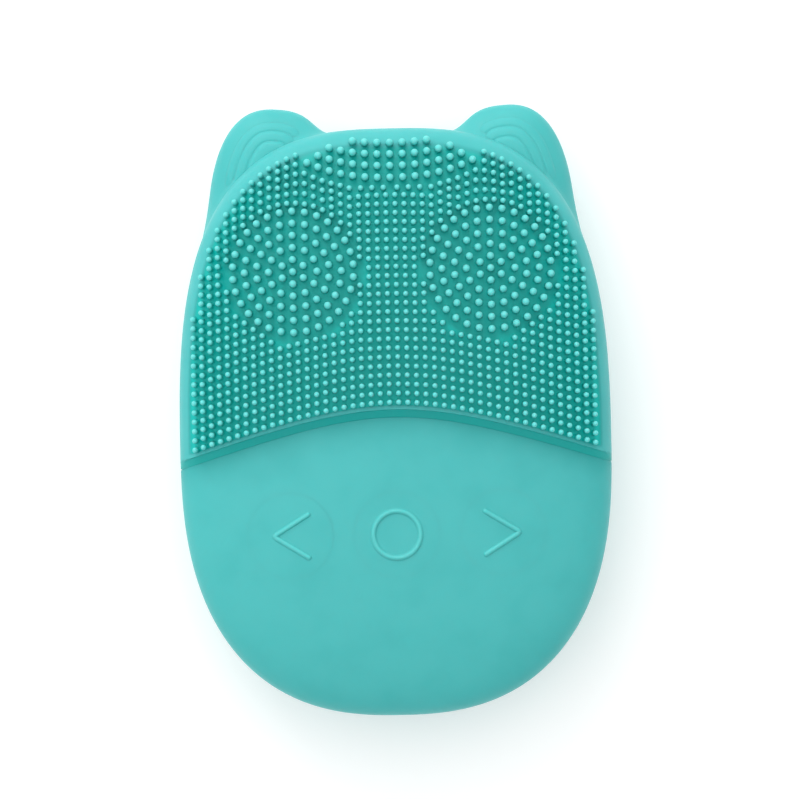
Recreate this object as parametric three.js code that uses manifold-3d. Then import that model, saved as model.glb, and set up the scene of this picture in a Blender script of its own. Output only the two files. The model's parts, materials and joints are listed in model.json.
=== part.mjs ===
// A palm-sized silicone facial cleansing brush with two ears, lying on its back.
// Millimetres. +Z is up, out of the bristle face; +Y points to the ears; +X is to the right of
// somebody looking down at the bristles. The origin is under the middle of the overall box,
// on the flat of the back that the brush rests on.
import * as THREE from "three";
import { mergeVertices } from "three/addons/utils/BufferGeometryUtils.js";
import Module from "manifold-3d";

const wasm = await Module();
wasm.setup();

// ---------------------------------------------------------------- driving dimensions
const HALF_WIDTH = 33.5; // of the body's outline, at its widest
const TOP_LENGTH = 49.9; // from the widest line to the crown between the ears
const BOTTOM_LENGTH = 41.3; // from the widest line to the lower end
const TOP_POWER = 2.88; // superellipse powers of the two halves of the outline
const BOTTOM_POWER = 2.5;
const CENTRE_Y = -6.1; // the widest line, which puts the overall box's middle at y = 0
const EQUATOR_Z = 12.5; // the parting plane between front and rear

const PANEL_CROWN = 4.6; // how far the front domes up from the top of its shoulder
const PANEL_WALL = 7.4; // shoulder height over the equator, on the control panel
const STEP = 1.2; // the bristle cover stands this far above the control panel
const BRISTLE_LENGTH = 2.3;
const BACK_CROWN = 5.5;
const BACK_WALL = 8.0;
const SHOULDER_POWER = 7; // how tightly the shoulder turns

const SKIN = 1.8; // silicone wall
const SHELL = 1.6; // housing wall
const GAP = 0.3; // between neighbouring pieces

const SEAM_Y = -1.05; // where the arched seam crosses the middle
const SEAM_DROP = 5.8; // the seam follows a hyperbola: this over SEAM_SPREAD sets how fast it falls
const SEAM_SPREAD = 16;
const LIP = 1.7; // smooth band between the seam and the bristle field
const FIELD_SHARE = 0.945; // the bristle field ends at this share of the outline

const EAR = { x: 18.97, y: 29.22, halfWidth: 9.85, halfLength: 18.2, power: 2.55, lean: 0.08 };
const EAR_Z = 10.8; // the ear's own parting plane
const EAR_FRONT = 4.6; // how far the ear swells to the front and to the back
const EAR_BACK = 5.0;
const EAR_PADS = 1.35; // the three nested pads on the ear's front add this much by its middle
const EAR_PADS_INSET = 6.6; // how far in from the ear's edge the last pad starts
const EAR_SECTION_POWER = 2.4; // how tightly an ear's edge turns
const EAR_DEPTH_SHARE = 0.92; // an ear has its full thickness at this share of its half width
const EAR_BACK_INSETS = [8.2, 5, 2.5, 1, 0.3]; // where the rings of an ear's skin are
const EAR_FRONT_INSETS = [0, 0.3, 1, 2.4, 4.6, 8.2];

const KEY_RADIUS = 5.2;
const KEY_Y = -19.0;
const KEY_X = 16.35; // of the two side keys
const KEYS_AT = [[-KEY_X, KEY_Y], [0, KEY_Y], [KEY_X, KEY_Y]];
const KEY_TRAVEL = 0.5;
const KEY_BASE_Z = 20.6; // underside of a key's disc
const KEY_STEM_RADIUS = 1.6;
const MARK_HEIGHT = 0.35;
const MARK_WIDTH = 0.75;
const RING_MARK_RADIUS = 4.05;
const CHEVRON_MARK = { tip: 19, tail: 13.6, half: 3.45 }; // its far end, near end and half height

const BOARD = { width: 46, length: 22.5, centreY: -17.25, z: 13.2, thickness: 1.2 };
const SWITCH = { side: 6, height: 3.4, wellDepth: 1.8, plungerRadius: 1.7, plungerTop: 18.4 };
const MOTOR = { radius: 4.4, length: 15, x: -2.5, y: 21, z: 12.6, shaftRadius: 1 };

const AROUND = 36; // points round the body's outline
const EAR_AROUND = 24; // and round an ear's

const COLOURS = {
  silicone: { color: 0x4fc0bd, roughness: 0.55, metalness: 0 },
  housing: { color: 0xe9ecec, roughness: 0.45, metalness: 0 },
  seal: { color: 0x2f3436, roughness: 0.8, metalness: 0 },
  board: { color: 0x1f6b3c, roughness: 0.5, metalness: 0 },
  chip: { color: 0x1b1c1e, roughness: 0.5, metalness: 0 },
  plastic: { color: 0xf1efe6, roughness: 0.5, metalness: 0 },
  steel: { color: 0xb9bcc0, roughness: 0.3, metalness: 1 },
  gold: { color: 0xd9ae4a, roughness: 0.25, metalness: 1 },
  cell: { color: 0x9aa3ad, roughness: 0.4, metalness: 0.3 },
  foam: { color: 0x55585c, roughness: 0.95, metalness: 0 },
  redWire: { color: 0xb8231f, roughness: 0.5, metalness: 0 },
  blackWire: { color: 0x1c1c1e, roughness: 0.5, metalness: 0 },
  led: { color: 0xf4f6e8, roughness: 0.2, metalness: 0 },
};

// ---------------------------------------------------------------- solids and meshes
const part = new THREE.Group();

function solidOf(geometry) {
  const bare = geometry.index ? geometry.toNonIndexed() : geometry.clone();
  bare.deleteAttribute("normal");
  bare.deleteAttribute("uv");
  const merged = mergeVertices(bare, 1e-4);
  return new wasm.Manifold(
    new wasm.Mesh({
      numProp: 3,
      vertProperties: merged.attributes.position.array,
      triVerts: new Uint32Array(merged.index.array),
    }),
  );
}

function geometryOf(solid) {
  const mesh = solid.getMesh();
  return new THREE.BufferGeometry()
    .setAttribute("position", new THREE.BufferAttribute(mesh.vertProperties, 3))
    .setIndex(new THREE.BufferAttribute(mesh.triVerts, 1));
}

function addMesh(name, solid, colour) {
  const mesh = new THREE.Mesh(geometryOf(solid), new THREE.MeshStandardMaterial(COLOURS[colour]));
  mesh.name = name;
  part.add(mesh);
}

// A box from its low corner to its high corner.
function block(low, high) {
  const size = high.map((v, i) => v - low[i]);
  const middle = high.map((v, i) => (v + low[i]) / 2);
  return solidOf(new THREE.BoxGeometry(...size).translate(...middle));
}

// An upright cylinder from z0 to z1.
function post(x, y, radius, z0, z1, sides = 20) {
  const geometry = new THREE.CylinderGeometry(radius, radius, z1 - z0, sides);
  return solidOf(geometry.rotateX(Math.PI / 2).translate(x, y, (z0 + z1) / 2));
}

function joined(solids) {
  return solids.reduce((whole, solid) => whole.add(solid));
}

// The same upright cylinder at each of several [x, y] places.
function at(places, radius, z0, z1, sides) {
  return joined(places.map(([x, y]) => post(x, y, radius, z0, z1, sides)));
}

// A cylinder lying along X.
function rod(x0, x1, y, z, radius, sides = 20) {
  const geometry = new THREE.CylinderGeometry(radius, radius, x1 - x0, sides);
  return solidOf(geometry.rotateZ(Math.PI / 2).translate((x0 + x1) / 2, y, z));
}

// A flat outline, given as [x, y] points, made solid from z0 to z1.
function prism(points, z0, z1) {
  const shape = new THREE.Shape(points.map(([x, y]) => new THREE.Vector2(x, y)));
  const geometry = new THREE.ExtrudeGeometry(shape, { depth: z1 - z0, bevelEnabled: false });
  return solidOf(geometry.translate(0, 0, z0));
}

// A skin over rings of equal point count that run upwards, with a fan from each end's own centre.
function loft(rings, lowCentre, highCentre) {
  const count = rings[0].length;
  const positions = [...rings.flat(), lowCentre, highCentre].flat();
  const lowIndex = rings.length * count;
  const highIndex = lowIndex + 1;
  const lastRing = (rings.length - 1) * count;
  const index = [];
  for (let i = 0; i < count; i++) {
    const next = (i + 1) % count;
    for (let ring = 0; ring < lastRing; ring += count) {
      const above = ring + count;
      index.push(ring + i, ring + next, above + next);
      index.push(ring + i, above + next, above + i);
    }
    index.push(lowIndex, next, i);
    index.push(highIndex, lastRing + i, lastRing + next);
  }
  const geometry = new THREE.BufferGeometry()
    .setAttribute("position", new THREE.Float32BufferAttribute(positions, 3))
    .setIndex(index);
  return solidOf(geometry);
}

// ---------------------------------------------------------------- the body's form
// The outline is a superellipse with its own power above and below its widest line.
function outlinePoint(angle, inset, share = 1) {
  const top = Math.sin(angle) >= 0;
  const length = (top ? TOP_LENGTH : BOTTOM_LENGTH) - inset;
  const power = top ? TOP_POWER : BOTTOM_POWER;
  const across = (Math.abs(Math.cos(angle)) / (HALF_WIDTH - inset)) ** power;
  const along = (Math.abs(Math.sin(angle)) / length) ** power;
  const radius = share * (across + along) ** (-1 / power);
  return [radius * Math.cos(angle), CENTRE_Y + radius * Math.sin(angle)];
}

// Height over the equator at a share of the outline: a shallow dome on a tight shoulder.
function rise(share, crown, wall) {
  const shoulder = Math.max(0, 1 - share ** SHOULDER_POWER) ** (1 / SHOULDER_POWER);
  return crown * (1 - share * share) + wall * shoulder;
}

const SHARES = [1, 0.995, 0.965, 0.906, 0.78, 0.6, 0.3];

// The whole body, shrunk by inset on every side; extra raises its front.
function body(inset, extra = 0) {
  const foot = inset;
  const frontWall = PANEL_WALL + extra - inset;
  const backZ = (s) => Math.max(foot, EQUATOR_Z - rise(s, BACK_CROWN, BACK_WALL - inset));
  const frontZ = (s) => EQUATOR_Z + rise(s, PANEL_CROWN, frontWall);
  const ring = (share, z) =>
    Array.from({ length: AROUND }, (_, i) => [
      ...outlinePoint((2 * Math.PI * i) / AROUND, inset, share),
      z,
    ]);
  const rings = [
    ...[...SHARES].reverse().map((s) => ring(s, backZ(s))),
    ...SHARES.slice(1).map((s) => ring(s, frontZ(s))),
  ];
  return loft(rings, [0, CENTRE_Y, foot], [0, CENTRE_Y, frontZ(0)]);
}

function seamY(x) {
  return SEAM_Y - SEAM_DROP * (Math.hypot(1, x / SEAM_SPREAD) - 1);
}

const REACH = 60; // past every side of the object

// Everything on the ears' side of the seam, moved along by shift.
function aboveSeam(shift) {
  const edge = [];
  for (let x = -36; x <= 36; x += 4.5) edge.push([x, seamY(x) + shift]);
  return prism([...edge, [REACH, edge.at(-1)[1]], [REACH, REACH], [-REACH, REACH],
    [-REACH, edge[0][1]]], 0, REACH);
}

function slab(z0, z1) {
  return block([-REACH, -REACH, z0], [REACH, REACH, z1]);
}

// ---------------------------------------------------------------- silicone covers
const FRONT_EDGE_Z = EQUATOR_Z + GAP / 2;
const REAR_EDGE_Z = EQUATOR_Z - GAP / 2;
const panelBody = body(0);
const plateauBody = body(0, STEP);
const skinInside = body(SKIN);
const frontHalf = slab(FRONT_EDGE_Z, REACH);

function bristleCover() {
  const fieldOutline = Array.from({ length: AROUND }, (_, i) =>
    outlinePoint((2 * Math.PI * i) / AROUND, 0, FIELD_SHARE),
  );
  const bristleTips = body(0, STEP + BRISTLE_LENGTH)
    .intersect(prism(fieldOutline, EQUATOR_Z + 4, REACH))
    .intersect(aboveSeam(LIP));
  return plateauBody
    .intersect(aboveSeam(0))
    .add(bristleTips)
    .intersect(frontHalf)
    .subtract(skinInside);
}

function controlCover() {
  return panelBody
    .intersect(frontHalf)
    .subtract(aboveSeam(-GAP))
    .subtract(skinInside)
    .subtract(at(KEYS_AT, KEY_RADIUS + GAP, EQUATOR_Z, REACH, 24));
}

// One ear: rings of even inset, with the nested pads on its front taken as one even slope.
function ear(side) {
  const depth = EAR.halfWidth * EAR_DEPTH_SHARE;
  const swell = (inset, height) => {
    const share = 1 - Math.min(1, inset / depth);
    return height * (1 - share ** EAR_SECTION_POWER) ** (1 / EAR_SECTION_POWER);
  };
  const frontZ = (inset) =>
    EAR_Z + swell(inset, EAR_FRONT) + EAR_PADS * Math.min(1, inset / EAR_PADS_INSET);
  const ring = (inset, z) =>
    Array.from({ length: EAR_AROUND }, (_, i) => {
      const angle = (2 * Math.PI * i) / EAR_AROUND;
      const across = (Math.abs(Math.cos(angle)) / (EAR.halfWidth - inset)) ** EAR.power;
      const along = (Math.abs(Math.sin(angle)) / (EAR.halfLength - inset)) ** EAR.power;
      const radius = (across + along) ** (-1 / EAR.power);
      const turned = angle + side * EAR.lean;
      return [side * EAR.x + radius * Math.cos(turned), EAR.y + radius * Math.sin(turned), z];
    });
  const rings = [
    ...EAR_BACK_INSETS.map((inset) => ring(inset, EAR_Z - swell(inset, EAR_BACK))),
    ...EAR_FRONT_INSETS.map((inset) => ring(inset, frontZ(inset))),
  ];
  const low = rings[0][0][2];
  const high = rings.at(-1)[0][2];
  return loft(rings, [side * EAR.x, EAR.y, low], [side * EAR.x, EAR.y, high]);
}

const CONTACT = { radius: 2, recess: 0.4, top: 4.3 };
const CONTACTS_AT = [[-4.5, -12], [4.5, -12]];

function rearCover() {
  const frontClearance = body(-GAP, STEP).intersect(slab(REAR_EDGE_Z, REACH));
  let cover = panelBody.intersect(slab(-1, REAR_EDGE_Z));
  for (const side of [-1, 1]) cover = cover.add(ear(side).subtract(frontClearance));
  return cover.subtract(skinInside).subtract(at(CONTACTS_AT, CONTACT.radius + GAP, -1, 4, 16));
}

addMesh("bristle_cover", bristleCover(), "silicone");
addMesh("control_cover", controlCover(), "silicone");
addMesh("rear_cover", rearCover(), "silicone");

// ---------------------------------------------------------------- keys with raised marks
function ringMark() {
  const outer = post(0, KEY_Y, RING_MARK_RADIUS, EQUATOR_Z, REACH, 28);
  const inside = RING_MARK_RADIUS - MARK_WIDTH;
  return outer.subtract(post(0, KEY_Y, inside, EQUATOR_Z - 1, REACH + 1, 28));
}

// A chevron that points away from the middle.
function chevronMark(side) {
  const { tip, tail, half } = CHEVRON_MARK;
  const thick = MARK_WIDTH * 1.15; // along X, because the strokes slope
  const points = [[tip, 0], [tail, half], [tail - 0.3, half - 0.6], [tip - thick, 0],
    [tail - 0.3, 0.6 - half], [tail, -half]];
  const placed = points.map(([x, y]) => [side * x, KEY_Y + y]);
  return prism(placed, EQUATOR_Z, REACH);
}

const STEM_Z = SWITCH.plungerTop + GAP;

function key(x, mark) {
  const disc = panelBody.add(body(0, MARK_HEIGHT).intersect(mark));
  return disc
    .intersect(post(x, KEY_Y, KEY_RADIUS, KEY_BASE_Z, REACH, 24))
    .add(post(x, KEY_Y, KEY_STEM_RADIUS, STEM_Z, KEY_BASE_Z + 0.5, 16));
}

addMesh("power_key", key(0, ringMark()), "silicone");
addMesh("minus_key", key(-KEY_X, chevronMark(-1)), "silicone");
addMesh("plus_key", key(KEY_X, chevronMark(1)), "silicone");

// ---------------------------------------------------------------- hard housing
const SHELL_OUT = SKIN + GAP;
const SHELL_IN = SHELL_OUT + SHELL;
const shellOutside = body(SHELL_OUT);
const shellInside = body(SHELL_IN);
const HOUSING_SCREWS = [[-24, 12], [24, 12], [-18.5, -32], [18.5, -32]];
const SCREW = { headRadius: 2.3, headHeight: 1.5, shankRadius: 1.1, length: 9 };
const SCREW_SEAT = 7.6; // the rear housing's ledge that each screw head pulls on
const BOSS_RADIUS = { front: 2.9, rear: 3.6 };
const PILLAR = { radius: 2.4, pilotRadius: 1.2, pilotLow: 7 }; // under each of the board's screws
const SHELL_FLOOR = 2; // inside the rear housing's bottom wall
const BOSS_SPLIT = 8.7; // where the rear housing's bosses meet the front housing's
const BOARD_SCREWS = [[-20, -25.2], [20, -25.2], [-20, -9.3], [20, -9.3]];
const CRADLE_LOW = 6.4; // underside of the motor cradle
const JOINT_HALF = 0.6; // half of the slot that the seal fills between the housings

function frontHousing() {
  const bosses = at(HOUSING_SCREWS, BOSS_RADIUS.front, BOSS_SPLIT + GAP, REACH, 14)
    .intersect(shellOutside);
  const screwTip = SCREW_SEAT + SCREW.length;
  return shellOutside
    .subtract(shellInside)
    .intersect(slab(EQUATOR_Z + JOINT_HALF, REACH))
    .add(bosses)
    .subtract(at(HOUSING_SCREWS, SCREW.shankRadius + GAP, BOSS_SPLIT - 1, screwTip, 12))
    .subtract(at(KEYS_AT, KEY_RADIUS + 2 * GAP, EQUATOR_Z, REACH, 24));
}

function rearHousing() {
  const bosses = at(HOUSING_SCREWS, BOSS_RADIUS.rear, SHELL_FLOOR, BOSS_SPLIT, 14);
  const pillars = at(BOARD_SCREWS, PILLAR.radius, SHELL_FLOOR, BOARD.z - GAP, 14);
  const motorSeat = block([-6, MOTOR.y - 5, SHELL_FLOOR], [1, MOTOR.y + 5, CRADLE_LOW - GAP]);
  return shellOutside
    .subtract(shellInside)
    .intersect(slab(-1, EQUATOR_Z - JOINT_HALF))
    .add(joined([bosses, pillars, motorSeat]).intersect(shellOutside))
    .subtract(at(BOARD_SCREWS, PILLAR.pilotRadius, PILLAR.pilotLow, BOARD.z, 12))
    .subtract(at(HOUSING_SCREWS, SCREW.headRadius + GAP, -1, SCREW_SEAT, 14))
    .subtract(at(HOUSING_SCREWS, SCREW.shankRadius + GAP, SHELL_FLOOR, BOSS_SPLIT + 1, 12))
    .subtract(at(CONTACTS_AT, CONTACT.radius + GAP, -1, 5, 16));
}

function housingSeal() {
  const outer = body(SHELL_OUT + 0.2).intersect(slab(REAR_EDGE_Z - 0.15, EQUATOR_Z + GAP));
  return outer.subtract(body(SHELL_IN - 0.2));
}

addMesh("front_housing", frontHousing(), "housing");
addMesh("rear_housing", rearHousing(), "housing");
addMesh("housing_seal", housingSeal(), "seal");

// A screw with its head at headZ, pointing up when direction is 1 and down when it is -1.
function screw(x, y, headZ, direction, size) {
  const { headRadius, headHeight, shankRadius, length } = size;
  const profile = [[0, 0], [headRadius * 0.75, 0], [headRadius, headHeight * 0.4],
    [headRadius, headHeight], [shankRadius, headHeight], [shankRadius, length - 1.2], [0, length]];
  const geometry = new THREE.LatheGeometry(profile.map(([r, z]) => new THREE.Vector2(r, z)), 12);
  geometry.rotateX(direction > 0 ? Math.PI / 2 : -Math.PI / 2);
  return solidOf(geometry.translate(x, y, headZ));
}

HOUSING_SCREWS.forEach(([x, y], i) => {
  const headLow = SCREW_SEAT - GAP - SCREW.headHeight;
  addMesh(`housing_screw_${i + 1}`, screw(x, y, headLow, 1, SCREW), "steel");
});

// ---------------------------------------------------------------- main board and what is on it
const BOARD_TOP = BOARD.z + BOARD.thickness;
const BOARD_SCREW = { headRadius: 1.9, headHeight: 1.1, shankRadius: 0.85, length: 6 };

function roundedBlock(width, length, radius, x, y, z0, z1) {
  const shape = new THREE.Shape();
  const w = width / 2;
  const l = length / 2;
  shape.moveTo(-w + radius, -l).lineTo(w - radius, -l);
  shape.absarc(w - radius, -l + radius, radius, -Math.PI / 2, 0);
  shape.absarc(w - radius, l - radius, radius, 0, Math.PI / 2);
  shape.absarc(-w + radius, l - radius, radius, Math.PI / 2, Math.PI);
  shape.absarc(-w + radius, -l + radius, radius, Math.PI, Math.PI * 1.5);
  const options = { depth: z1 - z0, bevelEnabled: false, curveSegments: 4 };
  return solidOf(new THREE.ExtrudeGeometry(shape, options).translate(x, y, z0));
}

function mainBoard() {
  const { width, length, centreY, z } = BOARD;
  return roundedBlock(width, length, 3, 0, centreY, z, BOARD_TOP).subtract(
    at(BOARD_SCREWS, BOARD_SCREW.shankRadius + GAP, z - 1, z + 3, 12),
  );
}

function onBoard(width, length, height, x, y) {
  const z0 = BOARD_TOP + GAP;
  return block([x - width / 2, y - length / 2, z0], [x + width / 2, y + length / 2, z0 + height]);
}

// A tactile switch: a square case with a round well that the plunger sinks into.
function switchCase(x) {
  const { side, height, wellDepth, plungerRadius } = SWITCH;
  const top = BOARD_TOP + GAP + height;
  return onBoard(side, side, height, x, KEY_Y).subtract(
    post(x, KEY_Y, plungerRadius + GAP, top - wellDepth, top + 1, 16),
  );
}

addMesh("main_board", mainBoard(), "board");
BOARD_SCREWS.forEach(([x, y], i) => {
  const headTop = BOARD_TOP + GAP + BOARD_SCREW.headHeight;
  addMesh(`board_screw_${i + 1}`, screw(x, y, headTop, -1, BOARD_SCREW), "steel");
});
const SOCKET = { x: 8, y: -9.2, leadZ: BOARD_TOP + 1.8 };
const SWITCHES = { power: 0, minus: -KEY_X, plus: KEY_X };
for (const [name, x] of Object.entries(SWITCHES)) {
  const wellFloor = BOARD_TOP + GAP + SWITCH.height - SWITCH.wellDepth;
  const plunger = post(x, KEY_Y, SWITCH.plungerRadius, wellFloor + KEY_TRAVEL + 0.2,
    SWITCH.plungerTop, 16);
  addMesh(`${name}_switch_case`, switchCase(x), "chip");
  addMesh(`${name}_switch_plunger`, plunger, "plastic");
}
addMesh("microcontroller", onBoard(5, 5, 1, 8.2, -24.5), "chip");
addMesh("charge_controller", onBoard(3, 3, 1, -8.2, -24.5), "chip");
addMesh("indicator_led", onBoard(2, 1.2, 0.8, 0, -24.5), "led");
addMesh("battery_socket", onBoard(6, 4, 3, -SOCKET.x, SOCKET.y), "plastic");
addMesh("motor_socket", onBoard(6, 4, 3, SOCKET.x, SOCKET.y), "plastic");

// ---------------------------------------------------------------- battery and charging contacts
const CELL = { width: 26, length: 27, y: -19.5, low: 6.9, high: 12.4 };
const PAD = { width: 18, length: 12, y: -22 };
const MAGNET = { x: 17.5, y: -17.3, radius: 3, low: 5.8, high: 7.8 };

addMesh("battery_cell",
  roundedBlock(CELL.width, CELL.length, 2.5, 0, CELL.y, CELL.low, CELL.high), "cell");
addMesh("battery_pad",
  roundedBlock(PAD.width, PAD.length, 1.5, 0, PAD.y, SHELL_IN + 1.2, CELL.low - GAP), "foam");

for (const side of [-1, 1]) {
  const hand = side < 0 ? "left" : "right";
  const [x, y] = CONTACTS_AT[side < 0 ? 0 : 1];
  addMesh(`charge_contact_${hand}`,
    post(x, y, CONTACT.radius, CONTACT.recess, CONTACT.top, 16), "gold");
  addMesh(`dock_magnet_${hand}`,
    post(side * MAGNET.x, MAGNET.y, MAGNET.radius, MAGNET.low, MAGNET.high, 16), "steel");
}

// ---------------------------------------------------------------- vibration motor
const CAN_LEFT = MOTOR.x - MOTOR.length / 2;
const CAN_RIGHT = MOTOR.x + MOTOR.length / 2;
const WEIGHT = { x0: CAN_RIGHT + 1.5, x1: CAN_RIGHT + 6.5, radius: 5, hubRadius: 2.2 };
const NOSE_RADIUS = 2.4; // the motor's front bearing

function motorCan() {
  const nose = rod(CAN_RIGHT - 0.5, CAN_RIGHT + 1, MOTOR.y, MOTOR.z, NOSE_RADIUS, 16);
  const can = rod(CAN_LEFT, CAN_RIGHT, MOTOR.y, MOTOR.z, MOTOR.radius, 24).add(nose);
  const bore = rod(CAN_LEFT + 3, CAN_RIGHT + 2, MOTOR.y, MOTOR.z, MOTOR.shaftRadius + 0.1, 16);
  return can.subtract(bore);
}

// The off-centre weight: a half disc with a hub pressed on the shaft.
function eccentricWeight() {
  const { x0, x1, radius, hubRadius } = WEIGHT;
  const half = rod(x0, x1, MOTOR.y, MOTOR.z, radius, 24).intersect(
    block([x0 - 1, MOTOR.y - REACH, MOTOR.z - REACH], [x1 + 1, MOTOR.y + REACH, MOTOR.z]),
  );
  return half
    .add(rod(x0, x1, MOTOR.y, MOTOR.z, hubRadius, 16))
    .subtract(rod(x0 - 1, x1 + 1, MOTOR.y, MOTOR.z, MOTOR.shaftRadius + GAP, 16));
}

const CRADLE = { x0: CAN_LEFT + 2, x1: CAN_RIGHT - 2, saddleHalf: 6.5, lugHalf: 11, lugLow: 8.6 };
const LUG_TOP = MOTOR.z - GAP / 2; // the cradle's two lugs end here, level with the axis
const CLAMP_SCREW = { headRadius: 1.9, headHeight: 1.1, shankRadius: 0.85, length: 4.8 };
const CLAMP_SCREWS_AT = [-1, 1].map((side) => [MOTOR.x, MOTOR.y + side * 8.6]);
const clampHoles = at(CLAMP_SCREWS_AT, CLAMP_SCREW.shankRadius + GAP, 8, 16, 12);
const canHole = rod(CRADLE.x0 - 1, CRADLE.x1 + 1, MOTOR.y, MOTOR.z, MOTOR.radius + GAP, 24);

function motorCradle() {
  const { x0, x1, saddleHalf, lugHalf, lugLow } = CRADLE;
  return block([x0, MOTOR.y - saddleHalf, CRADLE_LOW], [x1, MOTOR.y + saddleHalf, LUG_TOP])
    .add(block([x0, MOTOR.y - lugHalf, lugLow], [x1, MOTOR.y + lugHalf, LUG_TOP]))
    .subtract(canHole)
    .subtract(clampHoles);
}

const STRAP = 1; // sheet thickness of the clamp

function motorClamp() {
  const { x0, x1, lugHalf } = CRADLE;
  const foot = MOTOR.z + GAP / 2;
  const arch = rod(x0 + 1, x1 - 1, MOTOR.y, MOTOR.z, MOTOR.radius + GAP + STRAP, 24);
  return arch
    .intersect(slab(foot, REACH))
    .add(block([x0 + 1, MOTOR.y - lugHalf, foot], [x1 - 1, MOTOR.y + lugHalf, foot + STRAP]))
    .subtract(canHole)
    .subtract(clampHoles);
}

addMesh("motor_can", motorCan(), "steel");
addMesh("motor_shaft",
  rod(CAN_LEFT + 4, WEIGHT.x1 + 0.5, MOTOR.y, MOTOR.z, MOTOR.shaftRadius, 16), "steel");
addMesh("eccentric_weight", eccentricWeight(), "steel");
addMesh("motor_cradle", motorCradle(), "plastic");
addMesh("motor_clamp", motorClamp(), "steel");
CLAMP_SCREWS_AT.forEach(([x, y], i) => {
  const headTop = MOTOR.z + GAP / 2 + STRAP + GAP + CLAMP_SCREW.headHeight;
  addMesh(`clamp_screw_${i + 1}`, screw(x, y, headTop, -1, CLAMP_SCREW), "steel");
});

// ---------------------------------------------------------------- leads
const LEAD_RADIUS = 0.5;

function lead(name, points, colour) {
  const curve = new THREE.CatmullRomCurve3(points.map((p) => new THREE.Vector3(...p)));
  const section = new THREE.Shape().absarc(0, 0, LEAD_RADIUS, 0, 2 * Math.PI);
  const options = { steps: 12, curveSegments: 3, extrudePath: curve, bevelEnabled: false };
  addMesh(name, solidOf(new THREE.ExtrudeGeometry(section, options)), colour);
}

for (const [side, colour, pole] of [[-1, "redWire", "red"], [1, "blackWire", "black"]]) {
  const { x, y, leadZ } = SOCKET;
  const start = y + 2 + GAP;
  const cellEnd = CELL.y + CELL.length / 2 + GAP;
  const row = -x + side * 1.2;
  lead(`battery_lead_${pole}`, [
    [row, start, leadZ], [row, start + 1.6, leadZ], [row, -4, 13.5], [row, -3.9, 11],
    [row, cellEnd, 9.8],
  ], colour);
  lead(`motor_lead_${pole}`, [
    [x + side * 1.2, start, leadZ], [x + side * 1.2, start + 3, leadZ],
    [4 + side * 0.8, 2, 15 + side * 0.4], [-4, 7, 13.4 + side * 0.8],
    [-12, 12.5, 12.8 + side * 0.9], [-13.5, 18, MOTOR.z + side * 1.1],
    [CAN_LEFT - GAP, MOTOR.y, MOTOR.z + side * 1.6],
  ], colour);
  const [contactX, contactY] = CONTACTS_AT[side < 0 ? 0 : 1];
  lead(`charge_lead_${pole}`, [
    [contactX, contactY, CONTACT.top + GAP], [contactX, contactY + 2, 5.7], [side * 3.4, -6, 5.9],
    [side * 2.2, -3.9, 9], [side * 2, -4.2, 13.5], [side * 2, -6.4, 15.7],
    [side * 2, -8.4, BOARD_TOP + GAP],
  ], colour);
}

export default part;
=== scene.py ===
# The looks of the facial cleansing brush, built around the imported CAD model.
# Shapes are worked out in millimetres in the CAD model's frame, and turned into metres when a
# mesh is made: +Z out of the bristle face, +Y to the ears, +X to the viewer's right.
import json
import math

import bpy
import numpy as np
from mathutils import Euler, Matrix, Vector


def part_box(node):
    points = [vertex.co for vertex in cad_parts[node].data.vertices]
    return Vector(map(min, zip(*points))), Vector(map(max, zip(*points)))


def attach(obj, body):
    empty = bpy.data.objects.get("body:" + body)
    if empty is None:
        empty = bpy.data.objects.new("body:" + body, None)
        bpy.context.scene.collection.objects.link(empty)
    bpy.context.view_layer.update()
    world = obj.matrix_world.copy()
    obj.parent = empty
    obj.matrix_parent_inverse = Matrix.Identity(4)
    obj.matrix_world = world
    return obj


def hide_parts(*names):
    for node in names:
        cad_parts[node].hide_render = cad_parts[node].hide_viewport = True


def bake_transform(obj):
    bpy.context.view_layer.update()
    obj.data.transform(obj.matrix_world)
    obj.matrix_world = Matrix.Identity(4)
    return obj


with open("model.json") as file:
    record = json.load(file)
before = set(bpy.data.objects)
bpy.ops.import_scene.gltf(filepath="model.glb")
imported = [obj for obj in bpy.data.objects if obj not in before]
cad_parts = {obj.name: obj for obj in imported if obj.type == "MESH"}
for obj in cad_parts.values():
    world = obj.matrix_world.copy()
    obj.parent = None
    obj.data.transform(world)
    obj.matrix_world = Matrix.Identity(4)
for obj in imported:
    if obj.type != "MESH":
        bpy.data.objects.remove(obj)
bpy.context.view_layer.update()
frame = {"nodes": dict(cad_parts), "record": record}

MM = 0.001


def box_mm(node):
    low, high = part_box(node)
    return np.array(low) / MM, np.array(high) / MM


# ------------------------------------------------------------------ driving sizes, in millimetres
_, COVER_HIGH = box_mm("bristle_cover")
PANEL_LOW, _ = box_mm("control_cover")
REAR_LOW, REAR_HIGH = box_mm("rear_cover")

PARTING = 0.15  # half of the gap between the front and rear covers
EQUATOR = PANEL_LOW[2] - PARTING
WIDEST_Y = -6.1  # where the outline is widest
HALF_WIDTH = COVER_HIGH[0]
TOP_LENGTH = COVER_HIGH[1] - WIDEST_Y
BOTTOM_LENGTH = WIDEST_Y - PANEL_LOW[1]
TOP_POWER = 2.88
BOTTOM_POWER = 2.5

CROWN = 4.6  # the front's shallow dome, on a shoulder of height WALL
WALL = 7.4
STEP = 1.2  # the bristle cover stands this far above the panel
BACK_CROWN = 5.5
BACK_WALL = 8.0
SHOULDER = 5.5  # power of the shoulder's superellipse
SKIN = 1.8  # thickness of the silicone
BODY_SCALE = 14  # turns a share of the body's form into roughly millimetres

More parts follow.
